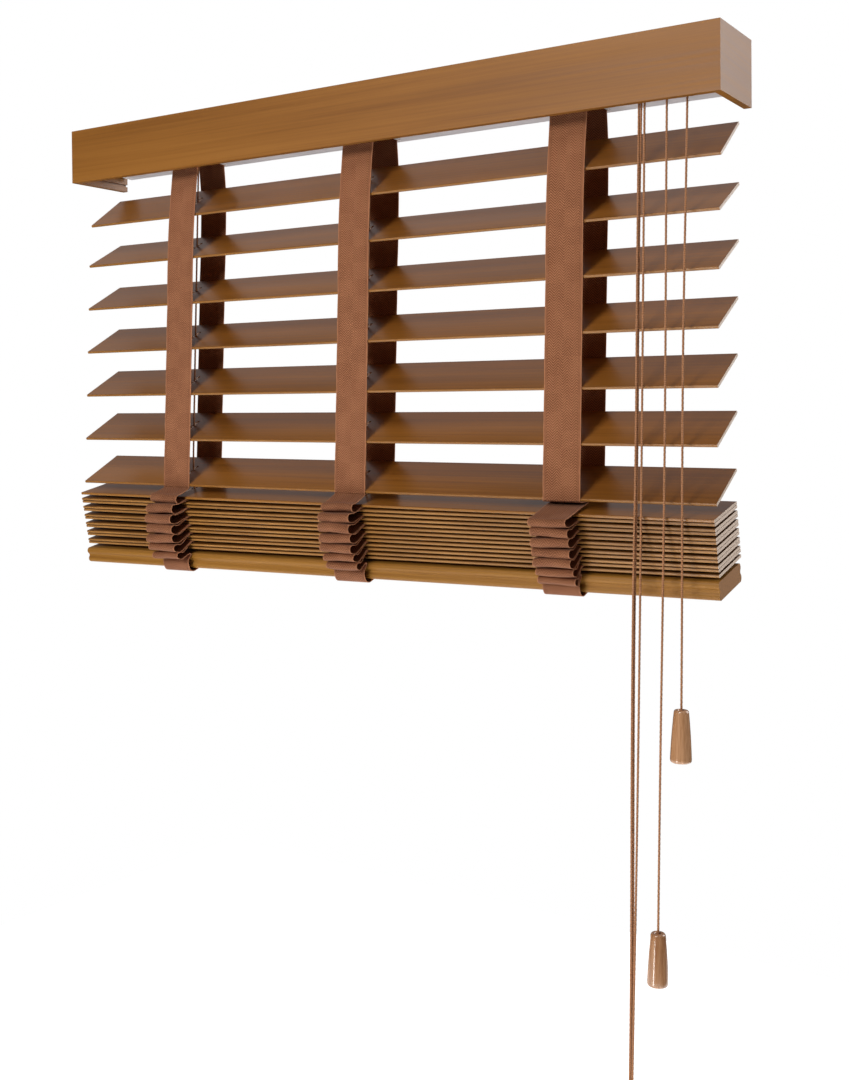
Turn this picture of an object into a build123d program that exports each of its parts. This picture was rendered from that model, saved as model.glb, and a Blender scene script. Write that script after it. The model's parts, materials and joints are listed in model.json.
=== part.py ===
"""Wooden venetian blind with ladder tapes, part raised: 7 open slats above a stack of 13.

Millimetres, +Z up, +X along the headrail towards the cord side, -Y towards the room.
The origin is the centre of the ceiling-screw pattern on top of the two box brackets.
"""
from build123d import *
from math import atan2, cos, pi, radians, sin, sqrt, tan
import os

os.makedirs("parts", exist_ok=True)

# ---- driving dimensions ------------------------------------------------------------------
gap = 0.3                     # clearance between bodies that move past each other

slat_length = 651.0
slat_width = 50.0
slat_thickness = 2.4
slat_edge_round = 0.8
route_hole_width = 3.2        # along the slat
route_hole_length = 18.0      # across the slat
open_slats = 7
stacked_slats = 13
slat_pitch = 43.0
first_slat_z = -79.2
first_slat_tilt = 38.8        # degrees, rear edge up: the tapes pull in above it
open_slat_tilt = 31.8
last_open_tilt = 30.9

stack_top_z = -361.5          # front edge of the top stacked slat
stack_pitch = 3.708
stack_fan = 0.00108           # each stacked slat lies this much steeper than the one above
pair_offset = 0.35            # the folds in the tapes hold the stacked slats in pairs
pair_twist = 0.0034
stack_front_y = -26.3         # front edge of the top stacked slat
stack_drift = 0.93            # each stacked slat lies this much further back
stack_lean = 14.2             # degrees, rear edge up

rail_width = 49.0
rail_height = 14.4
rail_length = 652.0
rail_y = 10.2
rail_z = -419.3               # middle of the rail's underside
rail_slope = 0.0155           # rise per length: the rail hangs higher on the cord side
rail_lean = 13.6              # degrees, rear edge up
rail_hole_radius = 3.0
button_radius = 7.5
button_height = 2.0

station_x = 201.5             # outer ladder tapes, either side of the middle one
tape_width = 32.0
tape_thickness = 0.8
rung_diameter = 1.2
rung_spacing = 17.0           # between the two rungs at each tape
lift_cord_diameter = 1.8

headrail_length = 640.0
headrail_depth = 57.0
headrail_height = 38.0
headrail_wall = 0.8
headrail_lip = 5.0            # inward hem along each top edge
bracket_wall = 1.5
bracket_length = 22.0
screw_radius = 2.3
screw_spacing_x = 616.0
screw_spacing_y = 30.0

valance_length = 664.0
valance_height = 51.1
valance_thickness = 6.0
valance_return = 68.7
valance_front_y = -42.0
valance_top_z = -3.1
valance_lean = 2.4            # degrees, bottom edge back

rod_across = 6.0              # square tilt rod
rod_z = -22.5
drum_radius = 14.5
drum_width = 34.0

wheel_teeth = 10
gear_module = 1.5
wheel_face = 4.0
worm_pitch_radius = 4.0
worm_turns = 3
tilter_x = 295.7
pulley_radius = 8.0           # to the middle of the cord in its groove
pulley_y = -30.3

lock_x = 268.0
pull_y = -30.3                # all hanging cords drop just behind the valance
tilt_cord_diameter = 1.8
tassel_height = 37.8
tassel_top_diameter = 11.0
tassel_bottom_diameter = 15.5
left_tassel_top_z = -661.0
right_tassel_top_z = -497.8
lift_tassel_top_z = -803.0

# ---- worked out --------------------------------------------------------------------------
headrail_top_z = -bracket_wall     # the brackets' upper faces are at Z = 0
headrail_bottom_z = headrail_top_z - headrail_height
floor_z = headrail_bottom_z + headrail_wall
stations = (-station_x, 0.0, station_x)
worm_z = rod_z + gear_module * wheel_teeth / 2 + worm_pitch_radius


def save(piece, name):
    piece.part.label = name
    export_step(piece.part, f"parts/{name}.step")


def open_slat_pose(number):
    tilt = open_slat_tilt
    if number == 1:
        tilt = first_slat_tilt
    if number == open_slats:
        tilt = last_open_tilt
    return first_slat_z - (number - 1) * slat_pitch, tilt


def tilted_plane(centre_z, tilt):
    t = radians(tilt)
    return Plane(origin=(0, 0, centre_z), x_dir=(1, 0, 0), z_dir=(0, -sin(t), cos(t)))


def leaned(y, z, lean, back, up=0.0):
    """Y and Z of a point that lies back along a leaning board and up from it."""
    c, s = cos(radians(lean)), sin(radians(lean))
    return y + back * c - up * s, z + back * s + up * c


def stacked_point(number, back):
    """Y and Z at mid length of a stacked slat, back from its front edge; 0 is the top slat."""
    y = stack_front_y + number * stack_drift
    z = stack_top_z - number * stack_pitch - number % 2 * pair_offset
    return leaned(y, z, stack_lean, back)


def leaning_plane(y, z, slope, lean):
    """A plane that rises along the blind by its slope, and towards the rear by its lean."""
    a, t = atan2(slope, 1), radians(lean)
    normal = (-sin(a) * cos(t), -sin(t), cos(a) * cos(t))
    return Plane(origin=(0, y, z), x_dir=(cos(a), 0, sin(a)), z_dir=normal)


def slat_board(plane):
    """A thin board with eased long edges and a route hole at each ladder tape."""
    with BuildPart() as board:
        with BuildSketch(plane.offset(-slat_thickness / 2)):
            Rectangle(slat_length, slat_width)
            with Locations(*[(x, 0) for x in stations]):
                SlotOverall(route_hole_length, route_hole_width, rotation=90, mode=Mode.SUBTRACT)
        extrude(amount=slat_thickness)
        long_edges = [e for e in board.edges() if e.length > slat_length - 1]
        fillet(long_edges, slat_edge_round)
    return board


# ---- slats -------------------------------------------------------------------------------
for n in range(1, open_slats + 1):
    z, tilt = open_slat_pose(n)
    save(slat_board(tilted_plane(z, tilt)), f"slat_{n:02d}")

for n in range(stacked_slats):
    slope = n * stack_fan + n % 2 * pair_twist
    plane = leaning_plane(*stacked_point(n, slat_width / 2), slope, stack_lean)
    save(slat_board(plane), f"slat_{open_slats + 1 + n:02d}")

# ---- bottom rail -------------------------------------------------------------------------
rail_plane = leaning_plane(rail_y, rail_z, rail_slope, rail_lean)
half = rail_width / 2
bead = 1.1                    # how far the beads stand out from the cove between them
neck_low, neck_high = 5.7, 8.7


def rail_side(side):
    """One moulded edge of the rail's section, from its underside up."""
    outer, neck, corner = side * half, side * (half - bead), side * (half - 2 * bead)
    ThreePointArc((corner, 0), (outer, neck_low / 2), (neck, neck_low))
    ThreePointArc((neck, neck_low), (neck - side * 0.6, (neck_low + neck_high) / 2), (neck, neck_high))
    ThreePointArc((neck, neck_high), (outer, (neck_high + rail_height) / 2), (corner, rail_height))


section_plane = Plane(
    origin=rail_plane.origin - rail_plane.x_dir * (rail_length / 2),
    x_dir=rail_plane.y_dir,
    z_dir=rail_plane.x_dir,
)
corner = half - 2 * bead
with BuildPart() as bottom_rail:
    with BuildSketch(section_plane):
        with BuildLine():
            rail_side(-1)
            rail_side(1)
            Line((-corner, 0), (corner, 0))
            Line((-corner, rail_height), (corner, rail_height))
        make_face()
    extrude(amount=rail_length)
    with BuildSketch(rail_plane):
        with Locations(*[(x, 0) for x in stations]):
            Circle(rail_hole_radius)
    extrude(amount=rail_height, mode=Mode.SUBTRACT)
save(bottom_rail, "bottom_rail")

with BuildPart() as rail_buttons:
    with BuildSketch(rail_plane):
        with Locations(*[(x, 0) for x in stations]):
            Circle(button_radius)
    extrude(amount=-button_height)
    rims = rail_buttons.edges().filter_by(GeomType.CIRCLE)
    fillet([e for e in rims if rail_plane.to_local_coords(e @ 0).Z < -button_height / 2], 0.8)
    with BuildSketch(rail_plane):
        with Locations(*[(x, 0) for x in stations]):
            Circle(rail_hole_radius - 0.2)
    extrude(amount=3.0)
save(rail_buttons, "rail_buttons")

# ---- headrail ----------------------------------------------------------------------------
opening_x, opening_y = 37.0, 41.0      # in the floor, under each tape drum
window_x, window_z = 19.6, 21.4        # in the front wall, for the cord pulley
lock_slot_x = 17.0
end_plane = Plane(origin=(-headrail_length / 2, 0, headrail_bottom_z), x_dir=(0, 1, 0), z_dir=(1, 0, 0))
with BuildPart() as headrail:
    with BuildSketch(end_plane):
        with Locations((0, headrail_height / 2)):
            Rectangle(headrail_depth, headrail_height)
            Rectangle(
                headrail_depth - 2 * headrail_wall,
                headrail_height - 2 * headrail_wall,
                mode=Mode.SUBTRACT,
            )
        with Locations((0, headrail_height)):
            Rectangle(headrail_depth - 2 * headrail_lip, 3, mode=Mode.SUBTRACT)
    extrude(amount=headrail_length)
    with BuildSketch(Plane.XY.offset(headrail_bottom_z - 1)):
        with Locations(*[(x, 0) for x in stations]):
            Rectangle(opening_x, opening_y)
        with Locations((lock_x, -headrail_depth / 2)):
            Rectangle(lock_slot_x, 12)
    extrude(amount=3, mode=Mode.SUBTRACT)
    with BuildSketch(Plane.XZ.offset(headrail_depth / 2 + 1)):
        with Locations((tilter_x, worm_z)):
            Rectangle(window_x, window_z)
        with Locations((lock_x, headrail_bottom_z + 5)):
            Rectangle(lock_slot_x, 15)
    extrude(amount=-3, mode=Mode.SUBTRACT)
save(headrail, "headrail")

# ---- brackets: a screwed plate whose hooks snap over the headrail's hems ---------------------
hook_x = 313.0
hook_length = 10.0
hook_drop = 7.0
rear_plate_drop = 30.0


def snap_bracket(side):
    """Top plate with two ceiling screws, a rear plate with two wall screws and a front hook."""
    rear_face = headrail_depth / 2 + 0.1
    with BuildPart() as bracket:
        with Locations((side * screw_spacing_x / 2, -rear_face, 0)):
            Box(
                bracket_length,
                2 * rear_face + bracket_wall,
                bracket_wall,
                align=(Align.CENTER, Align.MIN, Align.MAX),
            )
        with Locations((side * screw_spacing_x / 2, rear_face, 0)):
            Box(
                bracket_length,
                bracket_wall,
                rear_plate_drop,
                align=(Align.CENTER, Align.MIN, Align.MAX),
            )
        with Locations((side * hook_x, -rear_face, 0)):
            Box(
                hook_length,
                bracket_wall,
                hook_drop,
                align=(Align.CENTER, Align.MAX, Align.MAX),
            )
        with BuildSketch(Plane.XY):
            with Locations(*[(side * screw_spacing_x / 2, y) for y in (-screw_spacing_y / 2, screw_spacing_y / 2)]):
                Circle(screw_radius)
        extrude(amount=-bracket_wall, mode=Mode.SUBTRACT)
        with BuildSketch(Plane.XZ.offset(-rear_face)):
            with Locations(*[(side * (screw_spacing_x / 2 + x), -18) for x in (-5, 5)]):
                Circle(screw_radius)
        extrude(amount=-bracket_wall, mode=Mode.SUBTRACT)
    return bracket


for side, word in ((-1, "left"), (1, "right")):
    save(snap_bracket(side), f"bracket_{word}")

# ---- valance: a front board and two mitred returns, clipped to the headrail ----------------
lean = radians(valance_lean)
valance_plane = Plane(
    origin=(0, valance_front_y, valance_top_z),
    x_dir=(1, 0, 0),
    z_dir=(0, -sin(lean), cos(lean)),
)
end_x = valance_length / 2
inner_x = end_x - valance_thickness
groove = 2.2

with BuildPart() as valance_board:
    with BuildSketch(valance_plane):
        with BuildLine():
            Polyline(
                (-end_x, 0),
                (end_x, 0),
                (inner_x, valance_thickness),
                (-inner_x, valance_thickness),
                close=True,
            )
        make_face()
    extrude(amount=-valance_height)
    for depth in (6.0, valance_height - 6.0):
        with BuildSketch(valance_plane.offset(-depth + groove / 2)):
            with Locations((0, valance_thickness)):
                Rectangle(2 * inner_x - 4, 2 * groove)
        extrude(amount=-groove, mode=Mode.SUBTRACT)
save(valance_board, "valance_board")

for side, word in ((-1, "left"), (1, "right")):
    with BuildPart() as valance_return_board:
        with BuildSketch(valance_plane):
            with BuildLine():
                Polyline(
                    (side * end_x, 0),
                    (side * end_x, valance_return),
                    (side * inner_x, valance_return),
                    (side * inner_x, valance_thickness),
                    close=True,
                )
            make_face()
        extrude(amount=-valance_height)
        for depth in (6.0, valance_height - 6.0):
            with BuildSketch(valance_plane.offset(-depth + groove / 2)):
                with Locations((side * inner_x, valance_return / 2 + valance_thickness)):
                    Rectangle(2 * groove, valance_return - valance_thickness)
            extrude(amount=-groove, mode=Mode.SUBTRACT)
    save(valance_return_board, f"valance_return_{word}")

# a spring clip hooks over the headrail's front top edge and into the board's two grooves
clip_width = 16.0
clip_wall = 1.0
clip_x = (-250.0, -80.0, 80.0, 235.0)


def valance_point(inward, down):
    """Y and Z of a point of the leaning board: inward from its front face, down from its top."""
    y = valance_front_y + inward * cos(lean) + down * sin(lean)
    z = valance_top_z + inward * sin(lean) - down * cos(lean)
    return y, z


clip_back = -headrail_depth / 2 - 0.2
clip_top = headrail_top_z + clip_wall + 0.2
tongues = [valance_point(valance_thickness - groove + 0.4, down) for down in (6.0, valance_height - 6.0)]
clip_low = tongues[1][1] - clip_wall / 2
with BuildPart() as valance_clips:
    for x in clip_x:
        with BuildSketch(Plane.YZ.offset(x - clip_width / 2)):
            with Locations((clip_back, clip_low)):
                Rectangle(clip_wall, clip_top - clip_low, align=(Align.MAX, Align.MIN))
            with Locations((clip_back - clip_wall, clip_top)):
                Rectangle(6.0, clip_wall, align=(Align.MIN, Align.MAX))
            for tip_y, tip_z in tongues:
                with Locations((tip_y, tip_z)):
                    Rectangle(clip_back - tip_y, clip_wall, align=(Align.MIN, Align.CENTER))
        extrude(amount=clip_width)
save(valance_clips, "valance_clips")

# ---- tilt mechanism in the headrail ---------------------------------------------------------
rod_end_x = 309.0
with BuildPart() as tilt_rod:
    with BuildSketch(Plane.YZ.offset(-228)):
        with Locations((0, rod_z)):
            RectangleRounded(rod_across, rod_across, 0.6)
    extrude(amount=228 + rod_end_x)
save(tilt_rod, "tilt_rod")

rod_fit = 0.05
with BuildPart() as tape_drums:
    for x in stations:
        with BuildSketch(Plane.YZ.offset(x - drum_width / 2)):
            with Locations((0, rod_z)):
                Circle(drum_radius)
                Rectangle(rod_across + 2 * rod_fit, rod_across + 2 * rod_fit, mode=Mode.SUBTRACT)
                with PolarLocations(9.6, 6):
                    Circle(2.6, mode=Mode.SUBTRACT)
        extrude(amount=drum_width)
save(tape_drums, "tape_drums")

cradle_x, cradle_y = 45.0, 50.0
upright = 2.0
lip_depth = 1.2               # the moulded lip shows under the headrail
with BuildPart() as tape_cradles:
    for x in stations:
        with BuildSketch(Plane.XY.offset(floor_z)):
            with Locations((x, 0)):
                Rectangle(cradle_x, cradle_y)
                Rectangle(opening_x - 3.0, opening_y - 3.0, mode=Mode.SUBTRACT)
        extrude(amount=1.4)
        with BuildSketch(Plane.XY.offset(headrail_bottom_z - lip_depth)):
            with Locations((x, 0)):
                Rectangle(opening_x - 0.4, opening_y - 0.4)
                Rectangle(opening_x - 3.0, opening_y - 3.0, mode=Mode.SUBTRACT)
        extrude(amount=headrail_wall + lip_depth)
        for side in (-1, 1):
            face_x = x + side * (drum_width / 2 + 0.5 + upright / 2) - upright / 2
            with BuildSketch(Plane.YZ.offset(face_x)):
                with BuildLine():
                    Polyline(
                        (-16, floor_z),
                        (16, floor_z),
                        (9, rod_z + 5),
                        (-9, rod_z + 5),
                        close=True,
                    )
                make_face()
                with Locations((0, rod_z)):
                    Circle(rod_across * sqrt(2) / 2 + 0.2, mode=Mode.SUBTRACT)
                with Locations((0, rod_z + 4)):
                    Rectangle(7.0, 8, mode=Mode.SUBTRACT)
            extrude(amount=upright)
save(tape_cradles, "tape_cradles")

# worm wheel: straight teeth, narrow enough to clear the worm's lead angle
pitch_radius = gear_module * wheel_teeth / 2
tooth_tip = pitch_radius + 1.2
tooth_root = pitch_radius - 1.7
tooth_half_tip, tooth_half_root = 0.42, 1.15
rod_socket = rod_across + 2 * rod_fit
with BuildPart() as worm_wheel:
    with BuildSketch(Plane.YZ.offset(tilter_x - wheel_face / 2)):
        with Locations((0, rod_z)):
            Circle(tooth_root)
        # one tooth faces straight up, between two turns of the worm's thread
        for n in range(wheel_teeth):
            with Locations(Location((0, rod_z, 0), (0, 0, 360 / wheel_teeth * n))):
                Polygon(
                    (-tooth_half_root, tooth_root - 0.4),
                    (tooth_half_root, tooth_root - 0.4),
                    (tooth_half_tip, tooth_tip),
                    (-tooth_half_tip, tooth_tip),
                    align=None,
                )
    extrude(amount=wheel_face)
    with BuildSketch(Plane.YZ.offset(tilter_x - 6)):
        with Locations((0, rod_z)):
            Circle(5.4)
    extrude(amount=12)
    with BuildSketch(Plane.YZ.offset(tilter_x - 6)):
        with Locations((0, rod_z)):
            Rectangle(rod_socket, rod_socket)
    extrude(amount=12, mode=Mode.SUBTRACT)
save(worm_wheel, "worm_wheel")

# the worm turns on a front-to-back shaft; the cord pulley is on its front end
worm_lead = pi * gear_module
worm_length = worm_turns * worm_lead
worm_core = worm_pitch_radius - 1.6
worm_tip = worm_pitch_radius + 1.1
shaft_radius = 2.0
shaft_back_y = 16.0
pulley_rim = pulley_radius + 1.4
pulley_width = 4.6
worm_axis = Plane(origin=(tilter_x, 0, worm_z), x_dir=(1, 0, 0), z_dir=(0, -1, 0))


def along_worm(y):
    """The plane across the worm's shaft at a given Y, facing the room."""
    return worm_axis.offset(-y)


with BuildPart() as tilter_worm:
    with BuildSketch(along_worm(worm_length / 2 + 1)):
        Circle(worm_core)
    extrude(amount=worm_length + 2)
    with BuildSketch(along_worm(shaft_back_y)):
        Circle(shaft_radius)
    extrude(amount=shaft_back_y - pulley_y)
    with BuildSketch(Plane(origin=(tilter_x, 0, worm_z), x_dir=(1, 0, 0), z_dir=(0, 0, 1))):
        with BuildLine():
            Polyline(
                (0, pulley_y - pulley_width / 2),
                (pulley_rim, pulley_y - pulley_width / 2),
                (pulley_rim, pulley_y - pulley_width / 2 + 0.7),
                (pulley_radius - 1.0, pulley_y - 0.7),
                (pulley_radius - 1.0, pulley_y + 0.7),
                (pulley_rim, pulley_y + pulley_width / 2 - 0.7),
                (pulley_rim, pulley_y + pulley_width / 2),
                (0, pulley_y + pulley_width / 2),
                close=True,
            )
        make_face()
    revolve(axis=Axis((tilter_x, 0, worm_z), (0, 1, 0)))
    thread_start = Vector(tilter_x, worm_length / 2, worm_z)
    with BuildLine():
        thread_path = Helix(
            worm_lead,
            worm_length,
            worm_core,
            center=thread_start,
            direction=(0, -1, 0),
            lefthand=True,
        )
    with BuildSketch(Plane(thread_path @ 0, x_dir=thread_path @ 0 - thread_start, z_dir=thread_path % 0)):
        Polygon(
            (-0.25, -1.15),
            (-0.25, 1.15),
            (worm_tip - worm_core, 0.4),
            (worm_tip - worm_core, -0.4),
            align=None,
        )
    sweep(path=thread_path, is_frenet=True)
save(tilter_worm, "tilter_worm")

# two side plates and a floor hold the worm's shaft
housing_x = 20.0
plate = 2.0
with BuildPart() as tilter_housing:
    with BuildSketch(Plane.XY.offset(floor_z)):
        with Locations((tilter_x, -6)):
            Rectangle(housing_x, 40)
    extrude(amount=1.6)
    for y in (13.0, -24.0):
        with BuildSketch(along_worm(y)):
            with BuildLine():
                Polyline(
                    (-housing_x / 2, floor_z - worm_z),
                    (housing_x / 2, floor_z - worm_z),
                    (5.5, 5.0),
                    (-5.5, 5.0),
                    close=True,
                )
            make_face()
            Circle(shaft_radius + 0.05, mode=Mode.SUBTRACT)
        extrude(amount=plate)
save(tilter_housing, "tilter_housing")

# ---- cord lock ---------------------------------------------------------------------------------
strand_spacing = 2.2
strand_x = [lock_x + n * strand_spacing for n in (-1, 0, 1)]
roller_radius = 3.2
roller_y = pull_y + lift_cord_diameter / 2 + roller_radius + 0.2
roller_z = headrail_bottom_z + 6.0
pin_radius = 1.6
pin_y, pin_z, pin_angle = -16.0, floor_z + 14.0, 60
pin_travel = 3.4
lock_width = 12.0
with BuildPart() as cord_lock_body:
    with BuildSketch(Plane.XY.offset(floor_z)):
        with Locations((lock_x, 3)):
            Rectangle(lock_width + 2 * plate, 40)
    extrude(amount=1.6)
    for side in (-1, 1):
        with BuildSketch(Plane.YZ.offset(lock_x + side * (lock_width + plate) / 2 - plate / 2)):
            with BuildLine():
                Polyline(
                    (roller_y - 2.2, roller_z - 2.6),
                    (20, floor_z),
                    (16, floor_z + 9),
                    (-6, floor_z + 9),
                    (-10, floor_z + 22),
                    (-22, floor_z + 22),
                    (roller_y - 2.2, roller_z + 4),
                    close=True,
                )
            make_face()
            with Locations((roller_y, roller_z)):
                Circle(1.05, mode=Mode.SUBTRACT)
            with Locations(Location((pin_y, pin_z, 0), (0, 0, pin_angle))):
                SlotCenterToCenter(4.0, 2 * (pin_radius + 0.3), mode=Mode.SUBTRACT)
        extrude(amount=plate)
save(cord_lock_body, "cord_lock_body")

with BuildPart() as cord_lock_roller:
    with BuildSketch(Plane.YZ.offset(lock_x - lock_width / 2 + gap)):
        with Locations((roller_y, roller_z)):
            Circle(roller_radius)
    extrude(amount=lock_width - 2 * gap)
    with BuildSketch(Plane.YZ.offset(lock_x - lock_width / 2 - plate)):
        with Locations((roller_y, roller_z)):
            Circle(1.0)
    extrude(amount=lock_width + 2 * plate)
save(cord_lock_roller, "cord_lock_roller")

pin_rise = radians(pin_angle)
pin_rest = (pin_y - pin_travel / 2 * cos(pin_rise), pin_z - pin_travel / 2 * sin(pin_rise))
with BuildPart() as cord_lock_pin:
    with BuildSketch(Plane.YZ.offset(lock_x - lock_width / 2 - plate - 1)):
        with Locations(pin_rest):
            Circle(pin_radius)
    extrude(amount=lock_width + 2 * plate + 2)
save(cord_lock_pin, "cord_lock_pin")

# ---- ladder tapes ------------------------------------------------------------------------------
last_z, last_tilt = open_slat_pose(open_slats)
first_z, first_tilt = open_slat_pose(1)
tape_top_z = -33.0
tape_top_y = drum_radius + 0.8
straight_y = slat_width / 2 * cos(radians(open_slat_tilt)) + slat_thickness / 2 + 0.1
first_y = straight_y - 1.6


def tape_line(side):
    """The straight part of a tape in Y and Z: from the drum, past the first slat, to the last."""
    end_z = last_z + side * slat_width / 2 * sin(radians(last_tilt))
    first_edge_z = first_z + side * slat_width / 2 * sin(radians(first_tilt))
    second_edge_z = first_z - slat_pitch + side * slat_width / 2 * sin(radians(open_slat_tilt))
    return (
        (side * tape_top_y, tape_top_z),
        (side * first_y, first_edge_z),
        (side * straight_y, second_edge_z),
        (side * straight_y, end_z - 1.0),
    )


def tape_strips(side):
    """Three flat strips, one at each station, on the front (-1) or the rear (1)."""
    inner = tape_line(side)
    outer = [(y + side * tape_thickness, z) for y, z in reversed(inner)]
    with BuildPart() as strips:
        for x in stations:
            with BuildSketch(Plane.YZ.offset(x - tape_width / 2)):
                with BuildLine():
                    Polyline(*inner, *outer, close=True)
                make_face()
            extrude(amount=tape_width)
    return strips


save(tape_strips(-1), "front_tapes")
save(tape_strips(1), "rear_tapes")

# below the last open slat the tapes lie in folds, in front of the stack and behind it
fold_clearance = 2.2
fold_top = {-1: -358.0, 1: -346.0}
fold_reach = {-1: -47.5, 1: 46.0}
fold_reach_low = {-1: -34.0, 1: 43.0}


def fold_block(side):
    """The space that the folds fill: it follows the stack's edge and bulges in the middle."""
    reach, top = fold_reach[side], fold_top[side]
    back = slat_width * (side + 1) / 2
    stack_y = [stacked_point(n, back)[0] + side * fold_clearance for n in (0, stacked_slats - 1)]
    stack_low = stacked_point(stacked_slats - 1, back)[1]
    foot_y, foot_z = leaned(rail_y, rail_z, rail_lean, side * rail_width / 2)
    head_y, head_z = leaned(rail_y, rail_z, rail_lean, side * rail_width / 2, rail_height)
    rail_edge = side * max(side * foot_y, side * head_y) + side * 0.8
    with BuildPart() as block:
        for x in stations:
            drop = rail_slope * x
            with BuildSketch(Plane.YZ.offset(x - tape_width / 2)):
                with BuildLine():
                    Polyline(
                        (stack_y[0], top),
                        (reach - side * 7, top),
                        (reach, top - 12),
                        (reach, top - 38),
                        (fold_reach_low[side], top - 54),
                        (rail_edge + side * 3, foot_z + drop),
                        (rail_edge, foot_z + drop),
                        (rail_edge, head_z + drop),
                        (stack_y[1], stack_low),
                        close=True,
                    )
                make_face()
            extrude(amount=tape_width)
    return block


save(fold_block(-1), "front_tape_folds")
save(fold_block(1), "rear_tape_folds")


def rung_strings(plane):
    """The two strings that lie under one slat at each station."""
    drop = slat_thickness / 2 + rung_diameter / 2 + 0.15
    with BuildPart() as strings:
        with BuildSketch(Plane(origin=plane.origin, x_dir=plane.x_dir, z_dir=plane.y_dir)):
            with Locations(*[(x + s * rung_spacing / 2, drop) for x in stations for s in (-1, 1)]):
                Circle(rung_diameter / 2)
        extrude(amount=rung_length / 2, both=True)
    return strings


rung_length = slat_width - 1.0
for n in range(1, open_slats + 1):
    save(rung_strings(tilted_plane(*open_slat_pose(n))), f"rungs_{n:02d}")

# ---- lift cords inside the blind ------------------------------------------------------------------
cord_top_z = floor_z + 1.0
bend_z = last_z - 6.0
cord_arcs = []
with BuildPart() as lift_cord_runs:
    for x in stations:
        rail_top = Vector(x, *leaned(rail_y, rail_z + rail_slope * x, rail_lean, 0, 3.4))
        lower_run = rail_top - Vector(x, 0, bend_z)
        arc = 0.45 * lower_run.length / tan(radians(lower_run.get_angle(Vector(0, 0, -1)) / 2))
        cord_arcs.append(round(arc))
        with BuildLine():
            run = FilletPolyline((x, 0, cord_top_z), (x, 0, bend_z), rail_top, radius=arc)
        with BuildSketch(Plane(run @ 0, z_dir=run % 0)):
            Circle(lift_cord_diameter / 2)
        sweep(path=run)
save(lift_cord_runs, "lift_cord_runs")

# ---- pull cords and tassels -------------------------------------------------------------------------


def hanging_cord(x, top_z, bottom_z, diameter):
    """A taut cord: one straight run from its exit to its tassel."""
    with BuildPart() as cord:
        with BuildSketch(Plane.XY.offset(bottom_z)):
            with Locations((x, pull_y)):
                Circle(diameter / 2)
        extrude(amount=top_z - bottom_z)
    return cord


def tassel(x, top_z):
    """Turned wooden cone with a rounded foot; the cord is glued into its top."""
    r1, r2 = tassel_top_diameter / 2, tassel_bottom_diameter / 2
    with BuildPart() as wood:
        with BuildSketch(Plane(origin=(x, pull_y, top_z - tassel_height), x_dir=(1, 0, 0), z_dir=(0, -1, 0))):
            with BuildLine():
                Line((0, 0), (r2 - 2.5, 0))
                ThreePointArc((r2 - 2.5, 0), (r2 - 0.6, 0.9), (r2, 3.0))
                ThreePointArc((r2, 3.0), (r2 - 1.35, tassel_height * 0.5), (r1, tassel_height - 1.5))
                ThreePointArc((r1, tassel_height - 1.5), (r1 - 0.4, tassel_height - 0.4), (r1 - 1.5, tassel_height))
                Line((r1 - 1.5, tassel_height), (0, tassel_height))
                Line((0, tassel_height), (0, 0))
            make_face()
        revolve(axis=Axis((x, pull_y, 0), (0, 0, 1)))
    return wood


tilt_cord_x = {"left": tilter_x - pulley_radius, "right": tilter_x + pulley_radius}
tassel_top = {"left": left_tassel_top_z, "right": right_tassel_top_z}
for word in ("left", "right"):
    x = tilt_cord_x[word]
    save(hanging_cord(x, worm_z, tassel_top[word], tilt_cord_diameter), f"tilt_cord_{word}")
    save(tassel(x, tassel_top[word]), f"tilt_tassel_{word}")

for n, x in enumerate(strand_x, 1):
    save(hanging_cord(x, roller_z, lift_tassel_top_z, lift_cord_diameter), f"lift_cord_{n}")
save(tassel(lock_x, lift_tassel_top_z), "lift_tassel")

print("lift cord arcs inside the blind", cord_arcs, "mm; the hanging cords are straight")
print("tilt cords hang", [round(worm_z - tassel_top[w]) for w in ("left", "right")], "mm")
print("lift cords hang", round(roller_z - lift_tassel_top_z), "mm")
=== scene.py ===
"""Wooden venetian blind, part raised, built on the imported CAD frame. Metres, +Z up, -Y to the room."""
import json
import math

import bpy
import numpy as np
from mathutils import Matrix, Vector

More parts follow.
